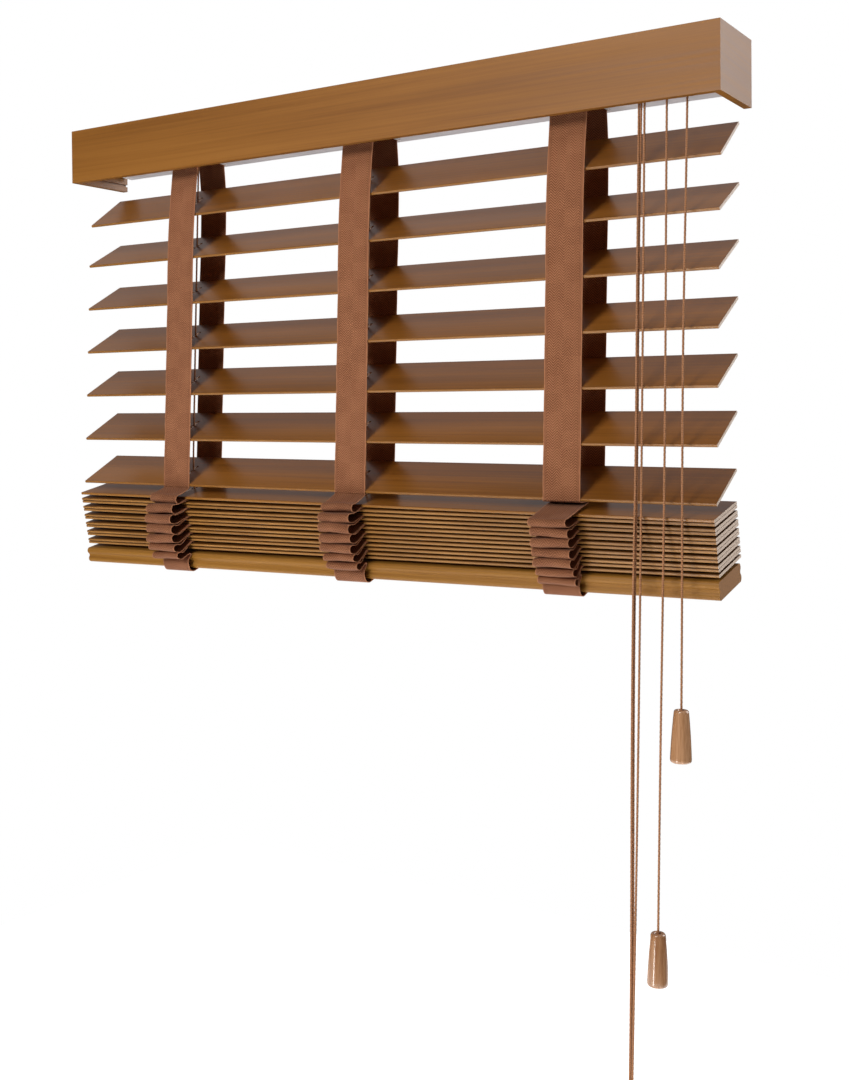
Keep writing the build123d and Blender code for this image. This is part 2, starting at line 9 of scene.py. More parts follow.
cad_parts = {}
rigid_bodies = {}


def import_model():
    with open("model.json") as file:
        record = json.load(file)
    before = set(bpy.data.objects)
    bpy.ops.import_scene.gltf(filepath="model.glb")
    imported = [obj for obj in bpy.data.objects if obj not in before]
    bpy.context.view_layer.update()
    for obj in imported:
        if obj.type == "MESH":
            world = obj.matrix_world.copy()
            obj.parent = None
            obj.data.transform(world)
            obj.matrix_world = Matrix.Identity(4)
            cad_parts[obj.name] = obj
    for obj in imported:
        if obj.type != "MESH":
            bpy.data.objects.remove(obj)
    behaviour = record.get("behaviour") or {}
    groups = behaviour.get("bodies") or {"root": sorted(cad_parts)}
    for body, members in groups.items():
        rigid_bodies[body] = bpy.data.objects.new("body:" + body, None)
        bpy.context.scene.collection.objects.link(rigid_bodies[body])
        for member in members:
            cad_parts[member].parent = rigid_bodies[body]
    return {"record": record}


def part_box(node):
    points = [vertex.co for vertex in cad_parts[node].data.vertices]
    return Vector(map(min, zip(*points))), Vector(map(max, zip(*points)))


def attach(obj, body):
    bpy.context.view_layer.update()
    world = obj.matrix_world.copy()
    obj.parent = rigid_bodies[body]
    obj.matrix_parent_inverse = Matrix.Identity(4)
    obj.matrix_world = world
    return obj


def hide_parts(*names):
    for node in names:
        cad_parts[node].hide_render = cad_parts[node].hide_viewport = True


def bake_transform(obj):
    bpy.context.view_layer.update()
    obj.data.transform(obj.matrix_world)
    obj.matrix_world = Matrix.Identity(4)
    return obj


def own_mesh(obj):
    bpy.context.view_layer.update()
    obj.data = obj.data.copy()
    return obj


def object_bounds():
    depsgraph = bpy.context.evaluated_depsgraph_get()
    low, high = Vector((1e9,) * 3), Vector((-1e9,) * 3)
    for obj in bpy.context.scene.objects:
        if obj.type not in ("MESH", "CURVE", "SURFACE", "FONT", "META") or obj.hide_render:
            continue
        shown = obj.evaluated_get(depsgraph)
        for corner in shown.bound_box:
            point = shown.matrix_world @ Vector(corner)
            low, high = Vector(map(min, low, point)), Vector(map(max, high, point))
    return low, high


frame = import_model()
cad_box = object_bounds()
MM = 0.001

# ---- what the frame says -------------------------------------------------------------------------
joints = {j["name"]: j for j in frame["record"]["behaviour"]["joints"]}
OPEN_SLATS = 7
STACKED = [f"slat_{n:02d}" for n in range(OPEN_SLATS + 1, 21)]
LOWEST_HINGE_Z = joints["slat_07_tilt"]["pos_m"][2]

TAPE_WIDTH = 32 * MM
STATION_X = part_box("front_tapes")[1].x - TAPE_WIDTH / 2
STATIONS = {"left": -STATION_X, "middle": 0.0, "right": STATION_X}


def cad_points(node):
    """The points of a CAD node's mesh, in the row frame."""
    mesh = bpy.data.objects[node].data
    flat = np.zeros(len(mesh.vertices) * 3)
    mesh.vertices.foreach_get("co", flat)
    return flat.reshape(-1, 3)


def slat_edge(node, side):
    """A slat's front (-1) or rear (1) edge: y, z in the middle, and its rise along x."""
    points = cad_points(node)
    reach = side * points[:, 1]
    edge = points[reach > reach.max() - 1.6 * MM]
    rise = np.polyfit(edge[:, 0], edge[:, 2], 1)[0]
    level = edge[:, 2] - rise * edge[:, 0]
    return float(side * reach.max()), float(level.max() + level.min()) / 2, float(rise)


# the bottom rail leans like the stack: its own coordinates are across (to the rear) and up
STACK_LEAN = math.radians(14.2)
RAIL_LEAN = math.radians(13.6)
rail = cad_points("bottom_rail")
ends = [rail[side * rail[:, 0] > rail[:, 0].max() - 1 * MM].mean(axis=0) for side in (-1, 1)]
rail_rise = float((ends[1][2] - ends[0][2]) / (ends[1][0] - ends[0][0]))
rail_level = rail[:, 2] - rail_rise * rail[:, 0]
rail_across = rail[:, 1] * math.cos(RAIL_LEAN) + rail_level * math.sin(RAIL_LEAN)
rail_up = rail_level * math.cos(RAIL_LEAN) - rail[:, 1] * math.sin(RAIL_LEAN)
RAIL_HEIGHT = float(rail_up.max() - rail_up.min())


def rail_point(side, out, up, x):
    """y and z of a point that lies out from the rail's front (-1) or rear (1), or from its middle (0)."""
    low, high = float(rail_across.min()), float(rail_across.max())
    across = (low + high) / 2 + side * ((high - low) / 2 + out)
    height = float(rail_up.min()) + up
    y = across * math.cos(RAIL_LEAN) - height * math.sin(RAIL_LEAN)
    z = across * math.sin(RAIL_LEAN) + height * math.cos(RAIL_LEAN)
    return y, z + rail_rise * x


# ---- camera --------------------------------------------------------------------------------------
CAMERA_PLACE = Vector((0.6421, -0.9086, -0.3114))
CAMERA_YAW = math.radians(32.609)      # turned left from the blind's normal
CAMERA_RISE = math.radians(1.121)      # looking slightly up
CAMERA_ROLL = math.radians(0.8)
CAMERA_LENS = 42.42
CAMERA_SHIFT = -0.1084                 # the blind hangs high in the frame


def make_camera():
    ahead = Vector((-math.sin(CAMERA_YAW), math.cos(CAMERA_YAW), 0))
    across = Vector((math.cos(CAMERA_YAW), math.sin(CAMERA_YAW), 0))
    above = Vector((0, 0, 1))
    view = ahead * math.cos(CAMERA_RISE) + above * math.sin(CAMERA_RISE)
    up = above * math.cos(CAMERA_RISE) - ahead * math.sin(CAMERA_RISE)
    right = across * math.cos(CAMERA_ROLL) + up * math.sin(CAMERA_ROLL)
    up = up * math.cos(CAMERA_ROLL) - across * math.sin(CAMERA_ROLL)
    data = bpy.data.cameras.new("camera")
    data.lens = CAMERA_LENS
    data.shift_y = CAMERA_SHIFT
    camera = bpy.data.objects.new("camera", data)
    turn = Matrix((right, up, -view)).transposed().to_4x4()
    camera.matrix_world = Matrix.Translation(CAMERA_PLACE) @ turn
    bpy.context.scene.collection.objects.link(camera)
    bpy.context.scene.camera = camera


make_camera()


# ---- node helpers --------------------------------------------------------------------------------
class Shader:
    """A material's node tree, with short calls for the nodes that the finishes share."""

    def __init__(self, name):
        self.material = bpy.data.materials.new(name)
        self.material.use_nodes = True
        self.tree = self.material.node_tree
        self.surface = next(n for n in self.tree.nodes if n.type == "BSDF_PRINCIPLED")

    def add(self, kind, settings=None, **inputs):
        node = self.tree.nodes.new("ShaderNode" + kind)
        for key, value in (settings or {}).items():
            setattr(node, key, value)
        for key, value in inputs.items():
            self.put(node.inputs[key.replace("_", " ")], value)
        return node

    def put(self, socket, value):
        if isinstance(value, bpy.types.NodeSocket):
            self.tree.links.new(value, socket)
        else:
            socket.default_value = value

    def math(self, operation, a, b=0.0):
        node = self.add("Math", {"operation": operation})
        self.put(node.inputs[0], a)
        self.put(node.inputs[1], b)
        return node.outputs[0]

    def scaled(self, vector, scale, shift=(0, 0, 0)):
        node = self.add("Mapping", Vector=vector, Scale=scale, Location=shift)
        return node.outputs[0]

    def noise(self, vector, detail=3.0, roughness=0.5, scale=1.0):
        node = self.add("TexNoise", Vector=vector, Scale=scale, Detail=detail, Roughness=roughness)
        return node.outputs["Fac"]

    def spread(self, value, low, high, out_low=0.0, out_high=1.0):
        node = self.add("MapRange", Value=value)
        node.inputs["From Min"].default_value = low
        node.inputs["From Max"].default_value = high
        node.inputs["To Min"].default_value = out_low
        node.inputs["To Max"].default_value = out_high
        return node.outputs["Result"]

    def ramp(self, value, stops):
        node = self.add("ValToRGB", Fac=value)
        band = node.color_ramp
        while len(band.elements) < len(stops):
            band.elements.new(0.5)
        for element, (place, colour) in zip(band.elements, stops):
            element.position = place
            element.color = (*colour, 1)
        return node.outputs["Color"]

    def mix(self, share, a, b, blend="MIX"):
        node = self.add("Mix", {"data_type": "RGBA", "blend_type": blend})
        self.put(node.inputs[0], share)
        self.put(node.inputs[6], a if isinstance(a, bpy.types.NodeSocket) else (*a, 1))
        self.put(node.inputs[7], b if isinstance(b, bpy.types.NodeSocket) else (*b, 1))
        return node.outputs[2]

    def bump(self, height, strength, distance):
        node = self.add("Bump", Height=height, Strength=strength, Distance=distance)
        return node.outputs[0]

    def place(self):
        return self.add("TexCoord").outputs["Object"]

    def facing(self, direction):
        """How far a face looks along a direction of the row frame."""
        node = self.add("VectorMath", {"operation": "DOT_PRODUCT"})
        self.put(node.inputs[0], self.add("TexCoord").outputs["Normal"])
        node.inputs[1].default_value = direction
        return node.outputs["Value"]

    def cloth(self):
        """Across and along a woven piece, in metres, as its mesh carries them."""
        node = self.add("Attribute", {"attribute_name": "cloth"})
        split = self.add("SeparateXYZ", Vector=node.outputs["Vector"])
        return split.outputs[0], split.outputs[1], node.outputs["Vector"]

    def set(self, **inputs):
        for key, value in inputs.items():
            self.put(self.surface.inputs[key.replace("_", " ")], value)
        return self.material


# ---- materials -----------------------------------------------------------------------------------
def wood(
    name, dark, mid, light, grain="x", roughness=0.34,
    coat=0.0, specular=0.45, ends=None, edge=None, shift=0.0,
):
    """Stained wood: long streaks, fine pores and slow changes of tone along one axis.

    ends is the colour of its cut ends, and edge the colour of a painted highlight on its long front and
    rear edges.
    coat is the share of clear lacquer on it, and shift moves the pattern to another place."""
    s = Shader(name)
    along = {"x": (1, 0, 0), "y": (0, 1, 0), "z": (0, 0, 1)}[grain]

    def stretched(run, cross):
        return tuple(run if a else cross for a in along)

    here = s.place()
    tone = s.noise(s.scaled(here, stretched(2.2, 24), (shift, shift * 3, shift)), detail=2.0)
    streak = s.noise(s.scaled(here, stretched(4, 420), (0, shift, 0)), detail=4.0, roughness=0.6)
    pores = s.noise(s.scaled(here, stretched(18, 1500)), detail=2.0, roughness=0.7)
    figure = s.math("ADD", s.math("MULTIPLY", tone, 0.5), s.math("MULTIPLY", streak, 0.5))
    colour = s.ramp(figure, [(0.38, dark), (0.5, mid), (0.62, light)])
    line = s.spread(pores, 0.30, 0.42, 0.86, 1.0)
    shade = s.add("CombineColor", Red=line, Green=line, Blue=line).outputs[0]
    colour = s.mix(0.7, colour, shade, "MULTIPLY")
    if edge:
        # painted highlight: faces that look to the front or rear take the edge colour, in noisy patches
        front = s.spread(s.math("ABSOLUTE", s.facing((0, -0.9, -0.44))), 0.66, 0.9)
        patchiness = s.noise(s.scaled(here, stretched(14, 60)), detail=4.0, roughness=0.6)
        highlight_patches = s.spread(patchiness, 0.36, 0.66, 0.55, 1.0)
        colour = s.mix(s.math("MULTIPLY", front, highlight_patches), colour, edge)
    if ends:
        end = s.spread(s.math("ABSOLUTE", s.facing(along)), 0.75, 0.95)
        rings = s.noise(s.scaled(here, (40, 500, 900)), detail=3.0)
        cut = s.ramp(rings, [(0.3, tuple(0.8 * c for c in ends)), (0.65, ends)])
        colour = s.mix(end, colour, cut)
    gloss = s.spread(streak, 0.3, 0.7, roughness - 0.04, roughness + 0.06)
    height = s.math("ADD", s.math("MULTIPLY", pores, 0.5), s.math("MULTIPLY", streak, 0.5))
    return s.set(
        Base_Color=colour,
        Roughness=gloss,
        Normal=s.bump(height, 0.12, 0.00012),
        Coat_Weight=coat,
        Coat_Roughness=0.14,
        Specular_IOR_Level=specular,
    )


# the tape's weave: across it from its middle line, and along it
CHEVRON_LEG = 4 * MM
TWILL_PITCH = 2.1 * MM
RIB_PITCH = 0.9 * MM
SELVEDGE_FROM, SELVEDGE_TO = 13.2 * MM, 13.8 * MM
GROOVE_PLACE, GROOVE_REACH = 13.4 * MM, 0.5 * MM
# where the painted highlight along the tape's outer edges starts, and where it is full
EDGE_HIGHLIGHT_FROM, EDGE_HIGHLIGHT_TO = 15.3 * MM, 15.7 * MM
BLOCK_WIDTH, BLOCK_LENGTH = 16 * MM, 14.33 * MM


def herringbone(name, dark, mid, light):
    """Ladder tape: chevron twill between two ribbed selvedges, with the faint blocks of the weave and a
    painted highlight along its outer edges.
    """
    s = Shader(name)
    across, along, vector = s.cloth()
    out = s.math("ABSOLUTE", across)
    leg = s.math("PINGPONG", across, CHEVRON_LEG)
    thread = s.math("MULTIPLY", s.math("ADD", along, leg), 2 * math.pi / TWILL_PITCH)
    twill = s.math("SINE", thread)
    rib = s.math("SINE", s.math("MULTIPLY", along, 2 * math.pi / RIB_PITCH))
    edge = s.spread(out, SELVEDGE_FROM, SELVEDGE_TO)
    weave = s.math(
        "ADD",
        s.math("MULTIPLY", twill, s.math("SUBTRACT", 1.0, edge)),
        s.math("MULTIPLY", rib, edge),
    )
    groove = s.spread(s.math("ABSOLUTE", s.math("SUBTRACT", out, GROOVE_PLACE)), 0, GROOVE_REACH)
    block = s.add("TexChecker", Vector=s.scaled(vector, (1 / BLOCK_WIDTH, 1 / BLOCK_LENGTH, 1)), Scale=1.0)
    soft = s.noise(s.scaled(vector, (60, 25, 1)), detail=4.0)
    fuzz = s.noise(s.place(), detail=2.0, scale=1800.0)
    tone = s.math("ADD", s.math("MULTIPLY", soft, 0.35), s.math("MULTIPLY", weave, 0.30))
    tone = s.math("ADD", tone, s.math("MULTIPLY", fuzz, 0.25))
    tone = s.math("ADD", tone, s.math("MULTIPLY", block.outputs["Fac"], 0.05))
    tone = s.math("SUBTRACT", tone, s.spread(groove, 0, 1, 0.12, 0.0))
    colour = s.ramp(tone, [(0.02, dark), (0.31, mid), (0.62, light)])
    # painted highlight on the tape's outer edges, lighter than its lightest tone
    rim = s.spread(out, EDGE_HIGHLIGHT_FROM, EDGE_HIGHLIGHT_TO)
    colour = s.mix(rim, colour, tuple(1.25 * c for c in light))
    height = s.math("ADD", s.math("MULTIPLY", weave, 0.5), s.math("MULTIPLY", fuzz, 0.5))
    return s.set(
        Base_Color=colour,
        Roughness=0.86,
        Normal=s.bump(height, 0.55, 0.0003),
        Sheen_Weight=0.08,
        Sheen_Roughness=0.5,
        Specular_IOR_Level=0.25,
    )


BRAID_PITCH = 2.6 * MM


def braid(name, dark, light):
    """Braided cord: two crossing families of strands."""
    s = Shader(name)
    around, along, _ = s.cloth()
    turn = s.math("MULTIPLY", around, 4.0)
    run = s.math("MULTIPLY", along, 2 * math.pi / BRAID_PITCH)
    one = s.math("SINE", s.math("ADD", turn, run))
    two = s.math("SINE", s.math("SUBTRACT", turn, run))
    weave = s.math("MULTIPLY", one, two)
    fuzz = s.noise(s.place(), detail=2.0, scale=2500.0)
    tone = s.math("ADD", s.math("MULTIPLY", weave, 0.35), s.math("MULTIPLY", fuzz, 1.0))
    colour = s.ramp(tone, [(0.15, dark), (0.75, light)])
    return s.set(
        Base_Color=colour,
        Roughness=0.8,
        Normal=s.bump(weave, 0.7, 0.0002),
        Sheen_Weight=0.15,
        Specular_IOR_Level=0.3,
    )


def enamel(name, colour, roughness=0.42, patchiness=0.05):
    """Painted or moulded surface: fine orange peel, slow dirt and a few rubbed patches."""
    s = Shader(name)
    here = s.place()
    peel = s.noise(here, detail=2.0, scale=900.0)
    dirt = s.noise(here, detail=5.0, roughness=0.6, scale=22.0)
    low = tuple(c * (1 - patchiness * 2.2) for c in colour)
    high = tuple(min(1.0, c * (1 + patchiness)) for c in colour)
    return s.set(
        Base_Color=s.ramp(dirt, [(0.3, low), (0.55, colour), (0.8, high)]),
        Roughness=s.spread(dirt, 0.3, 0.7, roughness - 0.06, roughness + 0.08),
        Normal=s.bump(peel, 0.12, 0.0002),
    )


def brushed(name, colour):
    """Drawn or brushed metal with lines along x."""
    s = Shader(name)
    here = s.place()
    lines = s.noise(s.scaled(here, (8, 900, 900)), detail=3.0)
    spots = s.noise(here, detail=4.0, scale=60.0)
    return s.set(
        Base_Color=s.ramp(spots, [(0.3, tuple(0.8 * c for c in colour)), (0.7, colour)]),
        Roughness=s.spread(lines, 0.3, 0.7, 0.28, 0.45),
        Metallic=1.0,
        Normal=s.bump(lines, 0.15, 0.0001),
    )


# each finish's dark, middle and light tone
SLAT_TONES = ((0.195, 0.070, 0.010), (0.258, 0.096, 0.014), (0.322, 0.123, 0.020))
VALANCE_TONES = ((0.232, 0.084, 0.008), (0.284, 0.108, 0.012), (0.328, 0.130, 0.017))
RAIL_TONES = ((0.262, 0.110, 0.014), (0.325, 0.145, 0.022), (0.390, 0.183, 0.036))
TASSEL_TONES = ((0.320, 0.142, 0.060), (0.450, 0.225, 0.104), (0.600, 0.325, 0.168))
# the colour of a painted highlight on the open slats' long edges
SLAT_EDGE_HIGHLIGHT = (0.370, 0.168, 0.040)
# the open slats' wood, with painted shade darkening its faces in the stack and a painted highlight on its
# edges
STACKED_SHADED_TONES = [tuple(0.55 * c for c in tone) for tone in SLAT_TONES]
STACKED_EDGE_HIGHLIGHT = (0.420, 0.200, 0.052)
CUT_END = (0.850, 0.680, 0.550)
RAIL_END = (0.36, 0.17, 0.06)

TAPE_TONES = ((0.164, 0.054, 0.022), (0.302, 0.114, 0.050), (0.430, 0.180, 0.085))
# the same cloth as the hung tape, darker: painted shade on the folds and on the links that lie on the stack
SHADED_FOLD_TONES = [tuple(0.84 * c for c in tone) for tone in TAPE_TONES]

materials = {
    "slat_wood": wood("slat_wood", *SLAT_TONES, ends=CUT_END, edge=SLAT_EDGE_HIGHLIGHT, roughness=0.32, coat=0.1),
    # a copy of the slat wood with painted shade on its faces and a painted highlight on its edges
    "stacked_wood_painted_shade": wood(
        "stacked_wood_painted_shade", *STACKED_SHADED_TONES,
        ends=CUT_END, edge=STACKED_EDGE_HIGHLIGHT, roughness=0.4, shift=3.0,
    ),
    "rail_wood": wood(
        "rail_wood", *RAIL_TONES,
        ends=RAIL_END, roughness=0.48, specular=0.3, shift=2.0,
    ),
    "valance_wood": wood("valance_wood", *VALANCE_TONES, roughness=0.5, shift=5.0),
    "return_wood": wood("return_wood", *VALANCE_TONES, grain="y", roughness=0.42, coat=0.1, shift=7.0),
    "tassel_wood": wood("tassel_wood", *TASSEL_TONES, grain="z", roughness=0.26, coat=1.0, shift=1.0),
    "ladder_tape": herringbone("ladder_tape", *TAPE_TONES),
    # the hung tape's cloth with painted shade, for the folds and links
    "shaded_folded_tape": herringbone("shaded_folded_tape", *SHADED_FOLD_TONES),
    "pull_cord": braid("pull_cord", (0.180, 0.062, 0.022), (0.640, 0.300, 0.135)),
    "headrail_steel": enamel("headrail_steel", (0.80, 0.76, 0.78)),
    "bracket_steel": enamel("bracket_steel", (0.56, 0.47, 0.46)),
    "rod_steel": brushed("rod_steel", (0.62, 0.62, 0.63)),
    "clip_steel": brushed("clip_steel", (0.55, 0.55, 0.56)),
    "cradle_plastic": enamel("cradle_plastic", (0.80, 0.76, 0.73), roughness=0.35, patchiness=0.02),
    "nylon": enamel("nylon", (0.78, 0.77, 0.72), roughness=0.4, patchiness=0.03),
    "button_plastic": enamel("button_plastic", (0.20, 0.085, 0.035), roughness=0.4),
}

for part in frame["record"]["subparts"]:
    node = bpy.data.objects[part["node"]]
    finish = materials[part["material_slot"]]
    if part["node"].startswith("valance_return"):
        finish = materials["return_wood"]
    # the stacked slats below the top one take the copy with painted shade and painted edge highlight
    elif part["node"] in STACKED[1:]:
        finish = materials["stacked_wood_painted_shade"]
    node.data.materials.clear()
    node.data.materials.append(finish)


# ---- mesh helpers --------------------------------------------------------------------------------
def piece(name, points, faces, finish, body=None, cloth=None):
    """A mesh object in the row frame with a finish, riding on a body; cloth is its weave's coordinates."""
    mesh = bpy.data.meshes.new(name)
    mesh.from_pydata([tuple(p) for p in points], [], faces)
    mesh.validate()
    if cloth is not None:
        attribute = mesh.attributes.new("cloth", "FLOAT_VECTOR", "POINT")
        attribute.data.foreach_set("vector", np.array(cloth, np.float32).ravel())
    mesh.polygons.foreach_set("use_smooth", [True] * len(mesh.polygons))
    mesh.materials.append(materials[finish])
    made = bpy.data.objects.new(name, mesh)
    bpy.context.scene.collection.objects.link(made)
    if body:
        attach(made, body)
    return made


def smooth_line(points, steps):
    """A Catmull-Rom line through the points, with steps divisions between each two."""
    p = np.array(points, float)
    p = np.vstack([2 * p[0] - p[1], p, 2 * p[-1] - p[-2]])
    t = np.linspace(0, 1, steps, endpoint=False)[:, None]
    parts = []
    for a, b, c, d in zip(p, p[1:], p[2:], p[3:]):
        square = 2 * a - 5 * b + 4 * c - d
        cube = 3 * b - a - 3 * c + d
        parts.append(0.5 * (2 * b + (c - a) * t + square * t**2 + cube * t**3))
    return np.vstack([*parts, p[-2]])


def resampled(line, step):
    """The line with points an even distance apart, about step."""
    line = np.array(line, float)
    run = np.concatenate([[0], np.cumsum(np.linalg.norm(np.diff(line, axis=0), axis=1))])
    count = max(2, int(round(run[-1] / step)) + 1)
    places = np.linspace(0, run[-1], count)
    return np.stack([np.interp(places, run, line[:, k]) for k in range(3)], axis=1), places


def ribbon(name, rows, across, along, thickness, finish, body=None):
    """A closed strip of cloth: rows of points along it, each with one point for every place across."""
    grid = np.array(rows, float)
    lengthwise = np.gradient(grid, axis=0)
    crosswise = np.gradient(grid, axis=1)
    normal = np.cross(crosswise, lengthwise)
    normal /= np.linalg.norm(normal, axis=2)[..., None]
    count, wide = grid.shape[:2]
    half = normal * thickness / 2
    points = np.concatenate([(grid + half).reshape(-1, 3), (grid - half).reshape(-1, 3)])
    u, v = np.meshgrid(across, along)
    flat = np.stack([u, v, np.zeros_like(u)], axis=2).reshape(-1, 3)
    back = count * wide
    faces = []
    for i in range(count - 1):
        for j in range(wide - 1):
            a = i * wide + j
            faces.append((a, a + 1, a + wide + 1, a + wide))
            faces.append((back + a, back + a + wide, back + a + wide + 1, back + a + 1))
    for i in range(count - 1):
        for a, b in ((i * wide + wide - 1, (i + 1) * wide + wide - 1), ((i + 1) * wide, i * wide)):
            faces.append((a, back + a, back + b, b))
    for j in range(wide - 1):
        for a, b in ((j + 1, j), ((count - 1) * wide + j, (count - 1) * wide + j + 1)):
            faces.append((b, a, back + a, back + b))
    return piece(name, points, faces, finish, body, np.concatenate([flat, flat]))


def tube(name, course, radius, finish, body=None, sides=10, twist=None):
    """A round tube along a course, which is a line of points and their places along it.

    twist = (strands, pitch, depth) gives it a rope's surface."""
    line, places = course
    ahead = np.gradient(line, axis=0)
    ahead /= np.linalg.norm(ahead, axis=1)[:, None]
    side = np.cross(ahead[0], (0.3, 1.0, 0.2))
    points, cloth, faces = [], [], []
    angles = np.linspace(0, 2 * math.pi, sides, endpoint=False)
    for centre, forward, place in zip(line, ahead, places):
        side = side - forward * (side @ forward)
        side /= np.linalg.norm(side)
        other = np.cross(forward, side)
        r = np.full(sides, radius)
        if twist:
            strands, pitch, depth = twist
            r = radius * (1 - depth * (0.5 - 0.5 * np.cos(strands * angles - 2 * math.pi * place / pitch)))
        ring = centre + np.outer(np.cos(angles) * r, side) + np.outer(np.sin(angles) * r, other)
        points.extend(ring)
        cloth.extend((a, place, 0) for a in angles)
    for i in range(len(line) - 1):
        for j in range(sides):
            k = (j + 1) % sides
            faces.append((i * sides + j, i * sides + k, (i + 1) * sides + k, (i + 1) * sides + j))
    faces.append(tuple(range(sides - 1, -1, -1)))
    last = (len(line) - 1) * sides
    faces.append(tuple(range(last, last + sides)))
    return piece(name, points, faces, finish, body, cloth)


def lathe(name, centre, profile, finish, body, sides=64):
    """A turned piece about a vertical axis: profile is (radius, height) pairs from one end to the other."""
    points, faces = [], []
    angles = np.linspace(0, 2 * math.pi, sides, endpoint=False)
    x, y, z = centre
    for radius, height in profile:
        points.extend((x + radius * math.cos(a), y + radius * math.sin(a), z + height) for a in angles)
    for i in range(len(profile) - 1):
        for j in range(sides):
            k = (j + 1) % sides
            faces.append((i * sides + j, i * sides + k, (i + 1) * sides + k, (i + 1) * sides + j))
    faces.append(tuple(range(sides - 1, -1, -1)))
    last = (len(profile) - 1) * sides
    faces.append(tuple(range(last, last + sides)))
    return piece(name, points, faces, finish, body)


# ---- pull cords ----------------------------------------------------------------------------------
CORD_DIAMETER = 1.8 * MM
CORD_STEP = 0.75 * MM
TWIST = (3, 3.6 * MM, 0.16)
# how far each pull cord runs into its tassel
CORD_SEAT = 1.5 * MM


def nurbs_line(name, route):
    """Points along the smooth curve that a cord's route points control."""
    curve = bpy.data.curves.new(name, "CURVE")
    curve.dimensions = "3D"
    curve.resolution_u = 24
    spline = curve.splines.new("NURBS")
    spline.points.add(len(route) - 1)
    for point, place in zip(spline.points, route):
        point.co = (*place, 1)
    spline.order_u = 3
    spline.use_endpoint_u = True
    holder = bpy.data.objects.new(name, curve)
    mesh = bpy.data.meshes.new_from_object(holder)
    line = np.array([v.co for v in mesh.vertices], float)
    bpy.data.meshes.remove(mesh)
    bpy.data.objects.remove(holder)
    bpy.data.curves.remove(curve)
    return resampled(line, CORD_STEP)


def tassel(name, node, body):
    """A turned cone with a hollow foot and a countersunk hole for its cord."""
    lo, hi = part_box(node)
    centre = ((lo.x + hi.x) / 2, (lo.y + hi.y) / 2, lo.z)
    height = hi.z - lo.z
    foot, head = (hi.x - lo.x) / 2, 5.5 * MM
    profile = [(2.0 * MM, 9.0 * MM), (4.6 * MM, 8.6 * MM), (5.0 * MM, 1.0 * MM), (5.5 * MM, 0.2 * MM)]
    profile += [(foot - 1.4 * MM, 0.0), (foot - 0.6 * MM, 0.35 * MM), (foot - 0.15 * MM, 1.2 * MM)]
    for k in range(13):
        t = k / 12
        bulge = 0.25 * MM * math.sin(math.pi * t)
        profile.append((foot + (head - foot) * t + bulge, 2.4 * MM + t * (height - 4.2 * MM)))
    profile += [(head - 0.25 * MM, height - 0.9 * MM), (head - 0.9 * MM, height - 0.2 * MM)]
    profile += [(head - 1.7 * MM, height), (2.9 * MM, height - 0.15 * MM), (2.3 * MM, height - 1.0 * MM)]
    profile += [(2.1 * MM, height - 4.0 * MM)]
    made = lathe(name, centre, profile, "tassel_wood", body)
    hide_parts(node)
    return made


lock_lo, lock_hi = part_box("cord_lock_roller")
LIFT_X = (lock_lo.x + lock_hi.x) / 2
cord_lo, cord_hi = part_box("lift_cord_2")
PULL_Y = (cord_lo.y + cord_hi.y) / 2
LIFT_TOP, LIFT_END = cord_hi.z, cord_lo.z

# each strand's way down: how far it is in x and y from the plumb line at LIFT_X, PULL_Y, and its height
LIFT_ROUTES = {
    "lift_cord_1": [
        (-0.0022, 0.0, LIFT_TOP),
        (-0.0022, 0.0, -0.090),
        (-0.0024, 0.0005, -0.200),
        (-0.0020, 0.0009, -0.310),
        (-0.0025, -0.0006, -0.420),
        (-0.0021, -0.0009, -0.530),
        (-0.0017, 0.0006, -0.640),
        (-0.0011, 0.0002, -0.730),
        (-0.0010, -0.0006, LIFT_END),
    ],
    "lift_cord_2": [
        (0.0, 0.0, LIFT_TOP),
        (-0.0015, 0.0017, -0.090),
        (-0.0020, 0.0024, -0.200),
        (-0.0015, 0.0028, -0.310),
        (-0.0020, 0.0013, -0.420),
        (-0.0015, 0.0010, -0.530),
        (-0.0009, 0.0024, -0.640),
        (-0.0002, 0.0019, -0.730),
        (0.0000, 0.0012, LIFT_END),
    ],
    "lift_cord_3": [
        (0.0022, 0.0, LIFT_TOP),
        (0.0024, 0.0, -0.090),
        (0.0028, -0.0002, -0.200),
        (0.0029, 0.0001, -0.310),
        (0.0030, -0.0001, -0.420),
        (0.0027, 0.0001, -0.530),
        (0.0022, 0.0, -0.640),
        (0.0014, -0.0005, -0.730),
        (0.0010, -0.0007, LIFT_END),
    ],
}


def pull_cord(name, node, route):
    """One hanging strand from its exit to its tassel."""
    line = nurbs_line(name, route)
    made = tube(name, line, CORD_DIAMETER / 2, "pull_cord", twist=TWIST)
    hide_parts(node)
    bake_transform(made)


lift_tassel = tassel("tassel_lift", "lift_tassel", "lift_pull")
for node, offsets in LIFT_ROUTES.items():
    route = [(LIFT_X + x, PULL_Y + y, z) for x, y, z in offsets]
    route[-1] = (route[-1][0], route[-1][1], LIFT_END - CORD_SEAT)
    held = [lift_tassel] if node == "lift_cord_2" else []
    pull_cord(f"strand_{node}", node, route)

